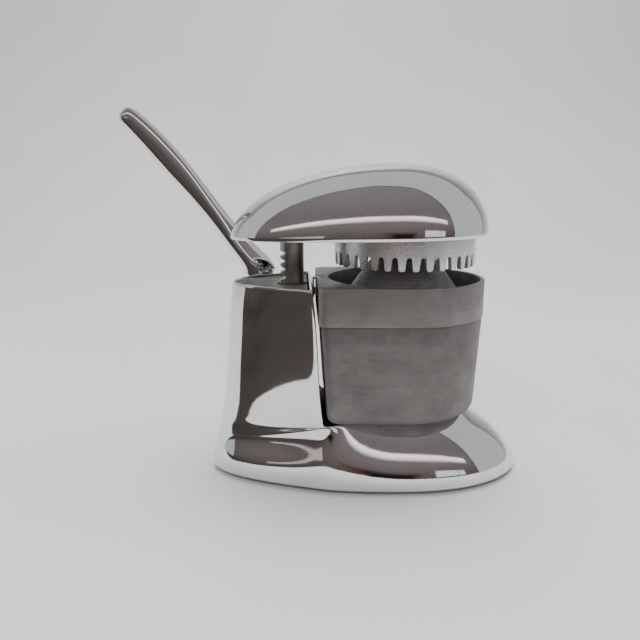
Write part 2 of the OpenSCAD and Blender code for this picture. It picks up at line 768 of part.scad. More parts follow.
module press_crown() {
    r = crown_r;
    w = crown_wall;
    t = crown_top;
    slot_r = 1.3;
    color(bright_aluminium) place() difference() {
        rotate_extrude() polygon([
            [r - w + 0.4, finger_tip_z], [r - 0.3, finger_tip_z], [r, 147], [r, 158], [r - 1, 162.5],
            [r - 3.6, 168], [r - 9, 173.6], [r - 17.5, 178.4], [r - 30, t], [0, t],
            [0, t - w], [r - 30, t - w], [r - 18.8, 175.7], [r - 11, 171.4], [r - 6.3, 166.4],
            [r - w - 0.9, 161.5], [r - w, 157], [r - w, 147]
        ]);
        for (i = [0 : finger_count - 1]) rotate([0, 0, (i + 0.5) * 360 / finger_count])
            translate([r - 2 * w, 0, 0]) rotate([90, 0, 90]) linear_extrude(4 * w) {
                polygon([[-slot_r, slot_top_z], [-2.6, finger_tip_z - 1], [2.6, finger_tip_z - 1],
                    [slot_r, slot_top_z]]);
                translate([0, slot_top_z]) circle(r = slot_r);
            }
        // Countersunk hole of the screw
        translate([0, 0, t - 10]) cylinder(r = 3, h = 20);
        translate([0, 0, t - w - eps]) cylinder(r1 = 5.6, r2 = 3, h = 2.6);
    }
}

module crown_screw() {
    t = crown_top;
    color(steel) place() difference() {
        union() {
            translate([0, 0, t - crown_wall]) cylinder(r = 3, h = 13.5);
            translate([0, 0, t - crown_wall]) cylinder(r1 = 5.5, r2 = 3, h = 2.5);
        }
        translate([-8, -0.6, t - crown_wall - 1]) cube([16, 1.2, 2]);
    }
}

base_casting();
column_cover();
cover_screws();
upper_guide_bush();
lower_guide_bush();
near_axle_bush();
far_axle_bush();
rubber_feet();
foot_screws();
pot_tab();
tab_screw();
strainer_ring();
strainer_cone();
juice_cup();
axle();
pinion();
pinion_pin();
spring_washer();
lever();
lever_key();
lever_washer();
lever_screw();
rack_post();
press_head();
post_set_screw();
press_crown();
crown_screw();
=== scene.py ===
import math

import bmesh
import bpy
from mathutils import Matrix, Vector


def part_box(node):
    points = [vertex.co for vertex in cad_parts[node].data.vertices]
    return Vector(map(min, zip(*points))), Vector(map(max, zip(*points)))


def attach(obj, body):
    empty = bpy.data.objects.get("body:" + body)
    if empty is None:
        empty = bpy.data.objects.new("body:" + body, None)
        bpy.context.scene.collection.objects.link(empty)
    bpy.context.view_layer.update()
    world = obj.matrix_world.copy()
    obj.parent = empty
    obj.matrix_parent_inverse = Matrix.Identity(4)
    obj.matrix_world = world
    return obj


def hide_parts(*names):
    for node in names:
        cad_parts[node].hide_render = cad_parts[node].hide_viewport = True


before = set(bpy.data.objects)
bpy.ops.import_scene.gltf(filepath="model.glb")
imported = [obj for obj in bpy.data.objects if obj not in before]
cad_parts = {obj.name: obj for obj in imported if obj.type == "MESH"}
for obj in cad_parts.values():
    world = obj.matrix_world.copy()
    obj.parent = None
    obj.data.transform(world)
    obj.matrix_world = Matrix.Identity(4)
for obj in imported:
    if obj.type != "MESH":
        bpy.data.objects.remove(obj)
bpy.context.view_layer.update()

STAND, LEVER, PRESS = "stand", "lever_arm", "press"

# Shapes are written in millimetres about the press axis, the middle of the crown
crown_low, crown_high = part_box("press_crown")
AXIS = Vector(((crown_low[0] + crown_high[0]) / 2, (crown_low[1] + crown_high[1]) / 2, 0))
MM = 0.001


def row_point(x, y, z):
    """A point in metres in the row frame, from millimetres about the press axis."""
    return AXIS + Vector((x, y, z)) * MM


# ---- Camera ----

def make_camera():
    data = bpy.data.cameras.new("view")
    data.lens = 34.1
    data.sensor_width = 36
    data.clip_start = 0.01
    camera = bpy.data.objects.new("view", data)
    bpy.context.collection.objects.link(camera)
    camera.location = row_point(-65.8, -389.5, 188)
    camera.rotation_euler = (math.radians(90 - 12.57), 0, math.radians(-1.72))
    bpy.context.scene.camera = camera


make_camera()


# ---- Mesh helpers ----

def add_mesh(name, bm, smooth_angle=40):
    """Links a bmesh in as an object. Edges sharper than smooth_angle stay sharp."""
    bmesh.ops.recalc_face_normals(bm, faces=bm.faces)
    mesh = bpy.data.meshes.new(name)
    bm.to_mesh(mesh)
    bm.free()
    obj = bpy.data.objects.new(name, mesh)
    bpy.context.collection.objects.link(obj)
    mesh.polygons.foreach_set("use_smooth", [True] * len(mesh.polygons))
    mesh.set_sharp_from_angle(angle=math.radians(smooth_angle))
    return obj


def add_loft(bm, rings, around=True, along=False, caps=()):
    """Joins rings of equally many points with quads. A cap closes the first (0) or last (-1) ring."""
    rows = [[bm.verts.new(row_point(*p)) for p in ring] for ring in rings]
    count = len(rows[0])
    for i in range(len(rows) if along else len(rows) - 1):
        low, high = rows[i], rows[(i + 1) % len(rows)]
        for j in range(count if around else count - 1):
            k = (j + 1) % count
            bm.faces.new((low[j], low[k], high[k], high[j]))
    for cap in caps:
        bm.faces.new(rows[cap])
    return rows


def loft(name, rings, along=False, caps=(), smooth_angle=40):
    bm = bmesh.new()
    add_loft(bm, rings, along=along, caps=caps)
    return add_mesh(name, bm, smooth_angle)


def circle_ring(r, z, count=128):
    return [(r * math.cos(a), r * math.sin(a), z) for a in (math.tau * i / count for i in range(count))]


def y_ring(r, y, at, count=64):
    """A circle about an axis along Y through at = (x, z)."""
    return [(at[0] + r * math.cos(a), y, at[1] + r * math.sin(a)) for a in (math.tau * i / count for i in range(count))]


def subdivide(obj, levels):
    mod = obj.modifiers.new("smooth", "SUBSURF")
    mod.levels = levels
    mod.render_levels = levels


def cut(obj, cutter):
    """Cuts the cutter out of obj for good, and removes the cutter."""
    mod = obj.modifiers.new("cut", "BOOLEAN")
    mod.operation = "DIFFERENCE"
    mod.solver = "EXACT"
    mod.object = cutter
    depsgraph = bpy.context.evaluated_depsgraph_get()
    mesh = bpy.data.meshes.new_from_object(obj.evaluated_get(depsgraph))
    obj.modifiers.clear()
    obj.data = mesh
    bpy.data.objects.remove(cutter)
    mesh.polygons.foreach_set("use_smooth", [True] * len(mesh.polygons))
    mesh.set_sharp_from_angle(angle=math.radians(40))


def add_box(bm, low, high, turn=0):
    """A box in millimetres, turned about the press axis by an angle in radians."""
    corners = []
    for i in range(8):
        x, y, z = (high[k] if i >> k & 1 else low[k] for k in range(3))
        corners.append(bm.verts.new(row_point(x * math.cos(turn) - y * math.sin(turn),
                                              x * math.sin(turn) + y * math.cos(turn), z)))
    for face in ((0, 1, 3, 2), (4, 6, 7, 5), (0, 4, 5, 1), (2, 3, 7, 6), (0, 2, 6, 4), (1, 5, 7, 3)):
        bm.faces.new([corners[k] for k in face])


def bezier(p, t):
    s = 1 - t
    return [s ** 3 * a + 3 * s * s * t * b + 3 * s * t * t * c + t ** 3 * d for a, b, c, d in zip(*p)]


def mirrored(half):
    """A closed outline from its far half, which runs from the rear tip to the front tip."""
    return [(x, -y, z) for x, y, z in half] + half[-2:0:-1]


# ---- Materials ----

def new_material(name):
    material = bpy.data.materials.new(name)
    material.use_nodes = True
    nodes, links = material.node_tree.nodes, material.node_tree.links
    return material, nodes, links, nodes["Principled BSDF"]


def noise_node(nodes, links, scale, detail=4, rough=0.55, stretch=(1, 1, 1)):
    """Noise over the object's own metres; scale is per metre."""
    where = nodes.new("ShaderNodeTexCoord")
    mapping = nodes.new("ShaderNodeMapping")
    mapping.inputs["Scale"].default_value = stretch
    links.new(where.outputs["Object"], mapping.inputs["Vector"])
    node = nodes.new("ShaderNodeTexNoise")
    node.inputs["Scale"].default_value = scale
    node.inputs["Detail"].default_value = detail
    node.inputs["Roughness"].default_value = rough
    links.new(mapping.outputs["Vector"], node.inputs["Vector"])
    return node.outputs["Fac"]


def ramp(nodes, links, value, stops):
    """A colour ramp of (position, colour or grey level)."""
    node = nodes.new("ShaderNodeValToRGB")
    elements = node.color_ramp.elements
    while len(elements) < len(stops):
        elements.new(0.5)
    for element, (position, colour) in zip(elements, stops):
        element.position = position
        element.color = (*colour, 1) if isinstance(colour, tuple) else (colour, colour, colour, 1)
    links.new(value, node.inputs["Fac"])
    return node.outputs["Color"]


def multiply(nodes, links, a, b):
    node = nodes.new("ShaderNodeMix")
    node.data_type = "RGBA"
    node.blend_type = "MULTIPLY"
    node.inputs["Factor"].default_value = 1
    links.new(a, node.inputs["A"])
    links.new(b, node.inputs["B"])
    return node.outputs["Result"]


def bump(nodes, links, shader, layers):
    """Stacks (height, strength, distance in metres) bumps into the shader's normal."""
    normal = None
    for height, strength, distance in layers:
        node = nodes.new("ShaderNodeBump")
        node.inputs["Strength"].default_value = strength
        node.inputs["Distance"].default_value = distance
        links.new(height, node.inputs["Height"])
        if normal:
            links.new(normal, node.inputs["Normal"])
        normal = node.outputs["Normal"]
    links.new(normal, shader.inputs["Normal"])


def chrome_material():
    """Old chrome plate: a mirror with a slight wave, fine wiping scratches and dull specks."""
    material, nodes, links, shader = new_material("chrome_plate")
    shader.inputs["Metallic"].default_value = 1
    haze = noise_node(nodes, links, 26, 5)
    specks = noise_node(nodes, links, 900, 2, 0.7)
    streaks = noise_node(nodes, links, 260, 6, 0.7, (0.25, 1, 3))
    wave = noise_node(nodes, links, 30, 1.5, 0.4)
    tint = ramp(nodes, links, haze, [(0.35, (0.74, 0.735, 0.745)), (0.7, (0.80, 0.80, 0.81))])
    pits = ramp(nodes, links, specks, [(0.27, 0.45), (0.34, 1.0)])
    links.new(multiply(nodes, links, tint, pits), shader.inputs["Base Color"])
    links.new(ramp(nodes, links, streaks, [(0.45, 0.035), (0.62, 0.075), (0.78, 0.20)]), shader.inputs["Roughness"])
    bump(nodes, links, shader, [(wave, 0.35, 0.0006), (streaks, 0.02, 0.0002), (specks, 0.03, 0.0002)])
    return material


def aluminium_material(name, dark, light, rough, mottle=60):
    """Worn aluminium: blotches of oxide, fine scratches and small pits."""
    material, nodes, links, shader = new_material(name)
    shader.inputs["Metallic"].default_value = 0.82
    blotches = noise_node(nodes, links, mottle, 6, 0.62)
    patches = noise_node(nodes, links, 17, 3, 0.5)
    grain = noise_node(nodes, links, 1500, 3, 0.7)
    scratches = noise_node(nodes, links, 420, 5, 0.7, (0.15, 0.15, 2.2))
    tone = ramp(nodes, links, blotches, [(0.3, dark), (0.72, light)])
    shade = ramp(nodes, links, patches, [(0.3, 0.88), (0.7, 1.0)])
    marks = ramp(nodes, links, scratches, [(0.3, 0.82), (0.5, 1.0)])
    links.new(multiply(nodes, links, multiply(nodes, links, tone, shade), marks), shader.inputs["Base Color"])
    links.new(ramp(nodes, links, blotches, [(0.3, rough + 0.1), (0.75, rough - 0.06)]), shader.inputs["Roughness"])
    bump(nodes, links, shader, [(blotches, 0.12, 0.0003), (grain, 0.10, 0.0002), (scratches, 0.12, 0.0002)])
    return material


def steel_material(name, dark, light, rough):
    material, nodes, links, shader = new_material(name)
    shader.inputs["Metallic"].default_value = 0.95
    oil = noise_node(nodes, links, 90, 5)
    turned = noise_node(nodes, links, 700, 4, 0.7, (1, 1, 0.12))
    links.new(ramp(nodes, links, oil, [(0.3, dark), (0.7, light)]), shader.inputs["Base Color"])
    links.new(ramp(nodes, links, oil, [(0.3, rough + 0.12), (0.7, rough - 0.05)]), shader.inputs["Roughness"])
    bump(nodes, links, shader, [(turned, 0.10, 0.0002), (oil, 0.1, 0.0003)])
    return material


def plate_material():
    """The dull grey-green plate inside the column's lip, mottled darker and lighter."""
    material, nodes, links, shader = new_material("dull_plate")
    shader.inputs["Metallic"].default_value = 0.35
    plate_mottle = noise_node(nodes, links, 70, 6, 0.65)
    links.new(ramp(nodes, links, plate_mottle, [(0.3, (0.10, 0.11, 0.095)), (0.7, (0.26, 0.28, 0.25))]),
              shader.inputs["Base Color"])
    links.new(ramp(nodes, links, plate_mottle, [(0.3, 0.62), (0.7, 0.42)]), shader.inputs["Roughness"])
    bump(nodes, links, shader, [(plate_mottle, 0.3, 0.0004)])
    return material


def rubber_material():
    material, nodes, links, shader = new_material("black_rubber")
    grain = noise_node(nodes, links, 900, 4, 0.6)
    links.new(ramp(nodes, links, grain, [(0.3, (0.012, 0.012, 0.012)), (0.7, (0.035, 0.034, 0.033))]),
              shader.inputs["Base Color"])
    links.new(ramp(nodes, links, grain, [(0.3, 0.6), (0.7, 0.8)]), shader.inputs["Roughness"])
    bump(nodes, links, shader, [(grain, 0.3, 0.0003)])
    return material


def sheet_material():
    """Off-white sheet of the floor and the backdrop. Its near part and one side hold a painted dark reflection: mirrors
    see a dark emission there in place of the lit sheet.
    """
    material, nodes, links, shader = new_material("pale_sheet")
    cloud = noise_node(nodes, links, 2.2, 3)
    grain = noise_node(nodes, links, 160, 4)
    links.new(ramp(nodes, links, cloud, [(0.3, (0.70, 0.695, 0.685)), (0.7, (0.75, 0.75, 0.745))]),
              shader.inputs["Base Color"])
    links.new(ramp(nodes, links, grain, [(0.3, 0.85), (0.7, 0.95)]), shader.inputs["Roughness"])
    where = nodes.new("ShaderNodeTexCoord")
    split = nodes.new("ShaderNodeSeparateXYZ")
    links.new(where.outputs["Object"], split.inputs["Vector"])

    def compare(kind, value, limit):
        node = nodes.new("ShaderNodeMath")
        node.operation = kind
        node.inputs[1].default_value = limit
        links.new(value, node.inputs[0])
        return node.outputs[0]

    def combine(kind, a, b):
        node = nodes.new("ShaderNodeMath")
        node.operation = kind
        links.new(a, node.inputs[0])
        links.new(b, node.inputs[1])
        return node.outputs[0]

    ragged = noise_node(nodes, links, 14, 3)
    shifted = combine("ADD", split.outputs["Y"], compare("MULTIPLY", ragged, 0.22))
    front = compare("LESS_THAN", shifted, SHEET_EDGE_Y + 0.11)
    beside = combine("MULTIPLY", compare("LESS_THAN", split.outputs["X"], SHEET_EDGE_X),
                     compare("LESS_THAN", split.outputs["Y"], SHEET_SIDE_Y))
    past = combine("MAXIMUM", front, beside)
    # Painted dark reflection: where the mask is set, glossy rays see a dark emission in place of the lit sheet
    path = nodes.new("ShaderNodeLightPath")
    painted_reflection_mask = combine("MULTIPLY", past, path.outputs["Is Glossy Ray"])
    dark = nodes.new("ShaderNodeEmission")
    links.new(ramp(nodes, links, cloud, [(0.3, (0.05, 0.043, 0.04)), (0.7, (0.12, 0.10, 0.09))]),
              dark.inputs["Color"])
    mix = nodes.new("ShaderNodeMixShader")
    links.new(painted_reflection_mask, mix.inputs["Fac"])
    links.new(shader.outputs["BSDF"], mix.inputs[1])
    links.new(dark.outputs["Emission"], mix.inputs[2])
    links.new(mix.outputs["Shader"], nodes["Material Output"].inputs["Surface"])
    return material


# Where the sheet shows mirrors a painted dark reflection, in metres: nearer than SHEET_EDGE_Y, and also on the -X side
# of
# SHEET_EDGE_X where it is nearer than SHEET_SIDE_Y
SHEET_EDGE_Y, SHEET_EDGE_X, SHEET_SIDE_Y = -0.62, -0.16, -0.055

CHROME = chrome_material()
DULL = aluminium_material("dull_aluminium", (0.235, 0.218, 0.21), (0.305, 0.29, 0.282), 0.46)
# Painted shade: the cup's aluminium is the dull aluminium made darker, to take out light the cup catches from the floor
PAINTED_SHADE_CUP_ALUMINIUM = aluminium_material("cup_aluminium_painted_shade", (0.165, 0.152, 0.148), (0.215, 0.203, 0.197), 0.46)
CONE = aluminium_material("cone_aluminium", (0.26, 0.255, 0.24), (0.40, 0.39, 0.375), 0.42, 90)
BRIGHT = aluminium_material("bright_aluminium", (0.60, 0.58, 0.57), (0.78, 0.77, 0.765), 0.27, 120)
STEEL = steel_material("dark_steel", (0.20, 0.18, 0.165), (0.38, 0.36, 0.34), 0.38)
PLATED = steel_material("plated_steel", (0.38, 0.37, 0.36), (0.60, 0.59, 0.58), 0.22)
BRONZE = steel_material("bearing_bronze", (0.15, 0.12, 0.08), (0.30, 0.25, 0.18), 0.42)
PLATE = plate_material()
RUBBER = rubber_material()


def dress(obj, material, body, slot, *nodes):
    obj.data.materials.clear()
    obj.data.materials.append(material)
    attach(obj, body)
    if nodes:
        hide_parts(*nodes)


# ---- Stand ----

SIDE_STEPS, FRONT_STEPS, TURN_STEPS = 9, 15, 5
CORNER_X, PLATFORM_Z, COLUMN_TOP, LEDGE_Z = -53, 43, 128, 123
WALL = 3
REAR_DIP = 15


def side_points(rear, x, w, flare, rear_z, corner_z):
    """The side of the stand's plan from its rear tip to a corner. Flare 1 is the column's line."""
    line = [(rear, 0), (rear, w * (0.57 - 0.07 * flare)), (x - 23, w - 7.6 - 4.2 * flare), (x, w)]
    points = []
    for i in range(SIDE_STEPS + 1):
        share = i / SIDE_STEPS
        px, py = bezier(line, share)
        points.append((px, py, corner_z + (rear_z - corner_z) * (1 - share * share)))
    return points


def rear_height(z):
    """The foot's lines sink towards the rear, the higher the more."""
    return z - REAR_DIP * (max(0, z - FOOT_ROWS[0][0]) / (PLATFORM_Z - FOOT_ROWS[0][0])) ** 1.3


def foot_ring(rear_z, z, rear, corner_w, mid_w, front, flare=0):
    """A closed line round the foot, at rear_z at its rear tip and at z from the column's corner forwards."""
    mid_x = 3
    turn = [(CORNER_X, corner_w), (-33, (corner_w + 2 * mid_w) / 3 + 1), (-17, mid_w), (mid_x, mid_w)]
    nose = FRONT_STEPS - TURN_STEPS
    half = side_points(rear, CORNER_X, corner_w, flare, rear_z, z)
    half += [(*bezier(turn, i / TURN_STEPS), z) for i in range(1, TURN_STEPS + 1)]
    for i in range(1, nose + 1):
        a = math.pi / 2 * (1 - i / nose)
        half.append((mid_x + (front - mid_x) * math.cos(a), mid_w * math.sin(a), z))
    return mirrored(half)


def column_ring(rear_z, z, rear, face_x, face_w, flare=1.0):
    """A closed line round the column, with its flat face at face_x."""
    half = side_points(rear, face_x, face_w, flare, rear_z, z)
    half += [(face_x, face_w * (1 - i / FRONT_STEPS), z) for i in range(1, FRONT_STEPS + 1)]
    return mirrored(half)


def column_in(row, inset, z):
    """The column's line for a row, moved in by inset."""
    return column_ring(z, z, row[1] + inset, row[2] - inset, row[3] - 1.15 * inset)


# Height, rear, width at the column's corner, widest half width, front and flare, up the foot
FOOT_ROWS = [
    (2.5, -127.2, 44.6, 49, 78.6, 0),
    (4, -127.8, 46.2, 50.2, 79.6, 0),
    (8, -127.6, 47.2, 50.6, 79.6, 0),
    (14, -127, 47.4, 49.2, 76.4, 0.05),
    (21, -126, 46.2, 46.6, 71, 0.15),
    (29, -124.6, 44, 42.2, 63.3, 0.35),
    (35, -123.7, 42.8, 37.6, 54.8, 0.55),
    (39, -123.2, 42.5, 33.4, 48.9, 0.7),
]
# Height, rear, front face and half width of the face, up the column
COLUMN_ROWS = [(64, -116.9, -55.4, 43), (81, -115.1, -56.2, 42.9), (98, -113.9, -57, 42.8), (115, -112.6, -58.2, 42.7)]
LIP_ROW = (COLUMN_TOP, -111, -59.4, 42.5)


def make_stand():
    z, under = PLATFORM_Z, PLATFORM_Z - WALL
    outside = [foot_ring(rear_height(r[0]), *r) for r in FOOT_ROWS]
    outside += [
        foot_ring(rear_height(z - 1.4), z - 1.6, -123.1, 42.6, 30.2, 46.4, 0.8),
        foot_ring(rear_height(z - 0.4), z - 0.3, -122.9, 42.6, 28, 44.6, 0.82),
        foot_ring(z - 12, z, -122.2, 42.5, 26.5, 42.6, 0.9),
        column_ring(z - 7, z, -121, -52.6, 42, 0.96),
        column_ring(z - 2, z + 1.2, -119.9, -53.5, 42.2, 0.98),
        column_ring(z + 5, z + 5, -118.7, -53.6, 42.4),
    ]
    outside += [column_in(r, 0, r[0]) for r in COLUMN_ROWS]
    outside += [column_in(LIP_ROW, i, COLUMN_TOP - d) for i, d in ((0, 3), (0, 1.2), (0.5, 0.15), (1.1, 0))]
    inside = [column_in(LIP_ROW, i, h) for i, h in (
        (1.7, COLUMN_TOP), (2.2, COLUMN_TOP - 0.4), (2.6, LEDGE_Z + 0.3), (2.9, LEDGE_Z), (4.9, LEDGE_Z),
        (5.2, LEDGE_Z - 0.4), (5.2, LEDGE_Z - 3))]
    inside.append(column_in(COLUMN_ROWS[3], WALL, 114))
    inside += [column_in(r, WALL, r[0]) for r in COLUMN_ROWS[2::-1]]
    inside += [
        column_ring(z - 7, under, -121 + WALL, -53.4 - WALL, 37.2, 0.96),
        foot_ring(rear_height(z) - 2.5, under, -122.9 + WALL, 39.6, 25.5, 39.6, 0.85),
    ]
    for r in FOOT_ROWS[7:1:-1]:
        inside.append(foot_ring(rear_height(r[0]) - 2.5, r[0] - 2.5, r[1] + WALL, r[2] - WALL, r[3] - WALL,
                                r[4] - WALL - 0.6, r[5]))
    r = FOOT_ROWS[0]
    inside.append(foot_ring(r[0] + 0.3, r[0] + 0.3, r[1] + WALL, r[2] - WALL, r[3] - WALL, r[4] - WALL, 0))
    inside.append(foot_ring(r[0], r[0], r[1] + 1.2, r[2] - 1.2, r[3] - 1.2, r[4] - 1.2, 0))
    shell = loft("stand_shell", outside + inside, along=True, smooth_angle=180)
    subdivide(shell, 2)
    dress(shell, CHROME, STAND, "chrome", "base_casting")

    pivot = pivot_place()
    far = [(11, 14), (11, 31.6), (10.4, 32.7), (9.6, 33), (7.02, 33), (7.02, 14)]
    boss = loft("far_bearing_boss", [y_ring(rad, y, pivot) for rad, y in far], along=True)
    dress(boss, CHROME, STAND, "chrome")


def pivot_place():
    """X and Z of the lever's pivot, in millimetres from the press axis."""
    low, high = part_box("axle")
    return ((low[0] + high[0]) / 2 - AXIS.x) / MM, (low[2] + high[2]) / 2 / MM


# ---- Pot ----

RING_R, OPENING_R, RIM_Z, SEAM_Z = 51.4, 48.75, 130, 107
CUP_BOTTOM, CUP_FLOOR, CUP_CORNER_R = 45, 47.5, 5.2


def pot_ring(inset, z, count=256):
    """The pot's plan at a height: a half circle in front, straight sides, round rear corners."""
    r, rear, w, corner = RING_R - inset, -56.4 + inset, 49 - inset, 6
    ring = []
    for i in range(count):
        a = math.tau * i / count
        c, s = math.cos(a), abs(math.sin(a))
        if c >= 0:
            x, y = r * c, r * s
        else:
            # Where the ray meets the straight side, the rear or the round corner between them
            side = r / (s + (r - w) / -(rear + corner) * -c) if s > 1e-9 else 1e9
            back = rear / c
            reach = min(side, back)
            x, y = reach * c, reach * s
            if x < rear + corner and y > w - corner:
                cx, cy = rear + corner, w - corner
                half = cx * c + cy * s
                reach = half + math.sqrt(max(0, half * half - cx * cx - cy * cy + corner * corner))
                x, y = reach * c, reach * s
        ring.append((x, math.copysign(y, math.sin(a)), z))
    return ring


def make_strainer_ring():
    profile = [("plan", 0.35, SEAM_Z), ("plan", 0, SEAM_Z + 0.35), ("plan", 0, RIM_Z - 0.7), ("plan", 0.2, RIM_Z - 0.2),
               ("plan", 0.7, RIM_Z), ("round", OPENING_R + 0.5, RIM_Z), ("round", OPENING_R + 0.1, RIM_Z - 0.3),
               ("round", OPENING_R, RIM_Z - 0.8), ("round", OPENING_R, 110), ("round", 45.5, 110),
               ("round", 45.5, 104), ("round", 46.8, 104), ("round", 46.8, SEAM_Z)]
    rings = [pot_ring(v, z) if kind == "plan" else circle_ring(v, z, 256) for kind, v, z in profile]
    ring = loft("strainer_ring_wall", rings, along=True, smooth_angle=35)
    low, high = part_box("pot_tab")
    bm = bmesh.new()
    half = (high[1] - low[1]) / 2 / MM + 0.4
    add_box(bm, (-60, -half, RIM_Z - 1.5), (-52.3, half, RIM_Z + 3))
    cut(ring, add_mesh("notch", bm))
    dress(ring, DULL, STAND, "dull_aluminium", "strainer_ring")


def cup_ring(z, inset):
    grow = (z - CUP_BOTTOM) / (SEAM_Z - CUP_BOTTOM)
    r, rear, w = 47.8 + 3.2 * grow - inset, -51 - 4 * grow + inset, 46 + 2.8 * grow - inset
    corner, flat, turn, side, nose = 6, 6, 10, 8, 32
    cx, cy = rear + corner, w - corner
    half = [(rear, cy * i / flat, z) for i in range(flat)]
    for i in range(turn + 1):
        a = math.pi - math.pi / 2 * i / turn
        half.append((cx + corner * math.cos(a), cy + corner * math.sin(a), z))
    half += [(cx - cx * i / side, w + (r - w) * i / side, z) for i in range(1, side + 1)]
    for i in range(1, nose + 1):
        a = math.pi / 2 * (1 - i / nose)
        half.append((r * math.cos(a), r * math.sin(a), z))
    return mirrored(half)


def make_cup():
    quarter = [math.pi / 2 * i / 6 for i in range(7)]
    arc = [(CUP_CORNER_R * (1 - math.sin(a)), CUP_CORNER_R * (1 - math.cos(a))) for a in quarter]
    # Each pair is an inset and a height over the cup's bottom, round its lower edge
    rings = [cup_ring(CUP_BOTTOM + up, inset) for inset, up in arc]
    rings += [cup_ring(CUP_BOTTOM + f * 61.3, 0) for f in (0.2, 0.4, 0.6, 0.8, 1)] + [cup_ring(SEAM_Z - 0.2, 0.15)]
    rings += [cup_ring(SEAM_Z - 0.05, 0.5), cup_ring(SEAM_Z - 0.05, 2.5)]
    rings += [cup_ring(CUP_FLOOR + up, inset) for up, inset in ((4.4, 2.5), (1.4, 4.2), (0, 6.5))]
    cup = loft("juice_cup_wall", rings, caps=(0, -1))
    # Painted shade: the cup and its foot wear the darker copy of the dull aluminium
    dress(cup, PAINTED_SHADE_CUP_ALUMINIUM, STAND, "dull_aluminium", "juice_cup")
    pad = [circle_ring(r, z) for r, z in ((25, 45.3), (25, 43.3), (24.6, 43), (21.4, 43), (21, 43.3), (21, 45.3))]
    foot = loft("juice_cup_foot", pad, along=True)
    dress(foot, PAINTED_SHADE_CUP_ALUMINIUM, STAND, "dull_aluminium")


CONE_ANGLE, CONE_SLOTS, CONE_COUNT = math.radians(36.2), 24, 192
# A point of the cone's flank: radius and height
FLANK_R, FLANK_Z = 31.9, 126.6


def make_cone():
    """The reamer: a flank with fine turned grooves, on a flat rim with drain slots."""
    slope, rim_z, base_z, top_r = math.tan(CONE_ANGLE), 110.0, 112.5, 14
    base_r = FLANK_R + (FLANK_Z - base_z) * slope
    top_z = FLANK_Z + (FLANK_R - top_r) / slope
    profile = [(48.45, rim_z), (48.45, base_z - 0.3), (48.15, base_z), (base_r + 0.6, base_z)]
    grooves = 34
    for i in range(grooves):
        for share, depth in ((0.0, 0.34), (0.3, 0.05), (0.6, 0.0), (0.85, 0.08)):
            t = (i + share) / grooves
            r = base_r + (top_r - base_r) * t
            z = base_z + (top_z - base_z) * t
            profile.append((r - depth * math.cos(CONE_ANGLE), z - depth * math.sin(CONE_ANGLE)))
    profile += [(top_r * math.cos(a), top_z + 4 * math.sin(a)) for a in (math.pi / 2 * i / 8 for i in range(8))]
    rings = [circle_ring(r, z, CONE_COUNT) for r, z in profile]
    inner = [(0.5, top_z - 0.4), (top_r - 2, top_z - 2.4), (base_r - 2.9, rim_z)]
    bm = bmesh.new()
    rows = add_loft(bm, rings)
    peak = bm.verts.new(row_point(0, 0, top_z + 4))
    top = rows[-1]
    for j in range(len(top)):
        bm.faces.new((top[j], top[(j + 1) % len(top)], peak))
    under = add_loft(bm, [circle_ring(r, z, CONE_COUNT) for r, z in inner], caps=(0,))
    for j in range(CONE_COUNT):
        k = (j + 1) % CONE_COUNT
        bm.faces.new((rows[0][k], rows[0][j], under[-1][j], under[-1][k]))
    cone = add_mesh("strainer_cone_reamer", bm, 60)
    bm = bmesh.new()
    for i in range(CONE_SLOTS):
        add_box(bm, (38, -1.4, rim_z - 1), (44.8, 1.4, base_z + 2.2), (i + 0.5) * math.tau / CONE_SLOTS)
    cut(cone, add_mesh("slots", bm))
    dress(cone, CONE, STAND, "dull_aluminium", "strainer_cone")


# ---- Lever ----

HUB_R, HUB_NEAR, HUB_FAR, AXLE_R, HUB_CHAMFER = 14, 34.25, 46.65, 5.05, 0.9
ARM_HALF_T, SOLE_Y, TIP_Y = 6.5, 45.8, 55.5


def arm_ring(x, y, z, tilt, half_w, half_t, count=20, power=0.8):
    """A rounded cross-section of the lever, square to its line, tilt in degrees."""
    ring = []
    for j in range(count):
        a = math.tau * j / count
        across = math.copysign(abs(math.cos(a)) ** power, math.cos(a)) * half_w
        thick = math.copysign(abs(math.sin(a)) ** power, math.sin(a)) * half_t
        ring.append((x + across * math.cos(math.radians(tilt)), y + thick, z + across * math.sin(math.radians(tilt))))
    return ring


def arm_width(t):
    if t > 0.55:
        return 8.6 - 1.4 * ((t - 0.55) / 0.45) ** 2
    flare = 2.4 * (1 - t / 0.3) ** 2 if t < 0.3 else 0
    return 7 + flare + 1.6 * (t / 0.55) ** 2


